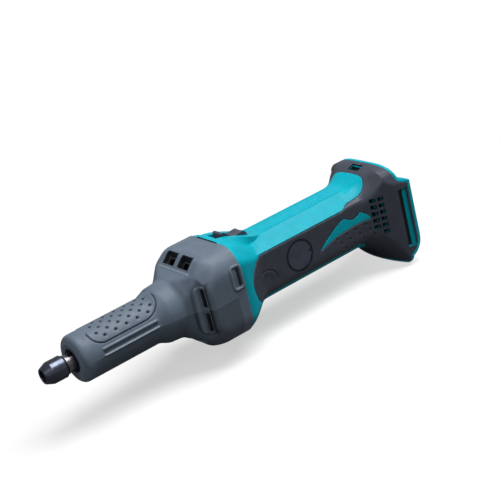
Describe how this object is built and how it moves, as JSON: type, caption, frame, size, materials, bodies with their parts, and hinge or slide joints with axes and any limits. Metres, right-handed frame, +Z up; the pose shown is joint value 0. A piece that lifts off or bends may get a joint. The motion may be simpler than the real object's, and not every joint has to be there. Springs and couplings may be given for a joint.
{
  "type": "die grinder",
  "caption": "Slim battery die grinder with a collet nut on a long spindle, a rubber-clad grip, a slide switch on top and rails for a slide-on battery pack.",
  "frame": {"origin": "centre of the collet's front face, on the spindle's axis", "axes": "+X along the spindle from the collet to the rear, +Z up to the switch, +Y to the right of the tool (left side, with the camera, is -Y)"},
  "size_m": [0.3538, 0.0776, 0.0943],
  "materials": {
    "rubber_boot": "matte",
    "rubber_grip": "satin",
    "housing": "satin",
    "black_plastic": "satin",
    "fan_plastic": "matte",
    "nut_steel": "black oxide, ground band",
    "spindle_steel": "ground",
    "bearing_steel": "polished",
    "cast_housing": "as cast and machined",
    "core_steel": "laminated",
    "magnet": "ground ferrite",
    "zinc_steel": "zinc plated",
    "copper": "enamelled wire and bare bars",
    "brass": "formed sheet",
    "carbon": "pressed carbon",
    "insulation": "moulded phenolic",
    "wire_red": "cable skin",
    "wire_black": "cable skin"
  },
  "bodies": {
    "housing": {"bearing_retainer": "zinc_steel", "front_bearing_outer": "bearing_steel", "middle_bearing_outer": "bearing_steel", "preload_washer": "zinc_steel", "bearing_housing": "cast_housing", "front_boot": "rubber_boot", "fan_bearing_outer": "bearing_steel", "baffle_plate": "black_plastic", "long_screws": "zinc_steel", "motor_yoke": "zinc_steel", "magnets": "magnet", "brush_plate": "insulation", "brush_holders": "brass", "carbon_brushes": "carbon", "brush_springs": "zinc_steel", "brush_caps": "black_plastic", "rear_bearing_outer": "bearing_steel", "switch_spring": "zinc_steel", "switch_body": "black_plastic", "speed_controller": "cast_housing", "motor_leads": "wire_red", "battery_leads": "wire_black", "terminal_block": "black_plastic", "contact_blades": "brass", "housing_left": "housing", "housing_right": "housing", "grip_left": "rubber_grip", "grip_right": "rubber_grip", "housing_screws": "zinc_steel"},
    "rotor": {"spindle": "spindle_steel", "labyrinth_ring": "cast_housing", "front_bearing_inner": "bearing_steel", "middle_bearing_inner": "bearing_steel", "shaft_coupling": "zinc_steel", "fan_bearing_inner": "bearing_steel", "armature_shaft": "spindle_steel", "armature_core": "core_steel", "armature_windings": "copper", "commutator": "copper", "fan": "fan_plastic", "rear_bearing_inner": "bearing_steel"},
    "collet": {"collet_cone": "nut_steel"},
    "nut": {"collet_nut": "nut_steel"},
    "spindle_cages": {"front_bearing_balls": "bearing_steel", "front_bearing_cage": "brass", "middle_bearing_balls": "bearing_steel", "middle_bearing_cage": "brass"},
    "motor_cages": {"fan_bearing_balls": "bearing_steel", "fan_bearing_cage": "brass", "rear_bearing_balls": "bearing_steel", "rear_bearing_cage": "brass"},
    "switch_bar": {"switch_link": "black_plastic", "switch_slider": "insulation"},
    "knob": {"switch_knob": "black_plastic"}
  },
  "joints": [
    {"name": "spindle_spin", "type": "hinge", "parent": "housing", "child": "rotor", "pos_m": [0.1, 0, 0], "axis": [1, 0, 0], "continuous": true},
    {"name": "spindle_cage_spin", "type": "hinge", "parent": "housing", "child": "spindle_cages", "pos_m": [0.072, 0, 0], "axis": [1, 0, 0], "continuous": true},
    {"name": "motor_cage_spin", "type": "hinge", "parent": "housing", "child": "motor_cages", "pos_m": [0.187, 0, 0], "axis": [1, 0, 0], "continuous": true},
    {"name": "collet_slide", "type": "slide", "parent": "rotor", "child": "collet", "axis": [-1, 0, 0], "range_m": [0, 0.0025]},
    {"name": "nut_turn", "type": "hinge", "parent": "collet", "child": "nut", "pos_m": [0.006, 0, 0], "axis": [-1, 0, 0], "range_deg": [0, 720]},
    {"name": "switch_slide", "type": "slide", "parent": "housing", "child": "switch_bar", "axis": [-1, 0, 0], "range_m": [0, 0.005], "stiffness_N_per_m": 400, "springref_m": -0.004, "deforming": ["switch_spring"]},
    {"name": "knob_lock", "type": "hinge", "parent": "switch_bar", "child": "knob", "pos_m": [0.1975, 0, 0.0263], "axis": [0, -1, 0], "range_deg": [0, 1.5]}
  ],
  "couplings": [
    {"joint": "spindle_cage_spin", "follows": "spindle_spin", "ratio": 0.38},
    {"joint": "motor_cage_spin", "follows": "spindle_spin", "ratio": 0.365},
    {"joint": "nut_turn", "follows": "collet_slide", "rad_per_m": 5026.5}
  ]
}
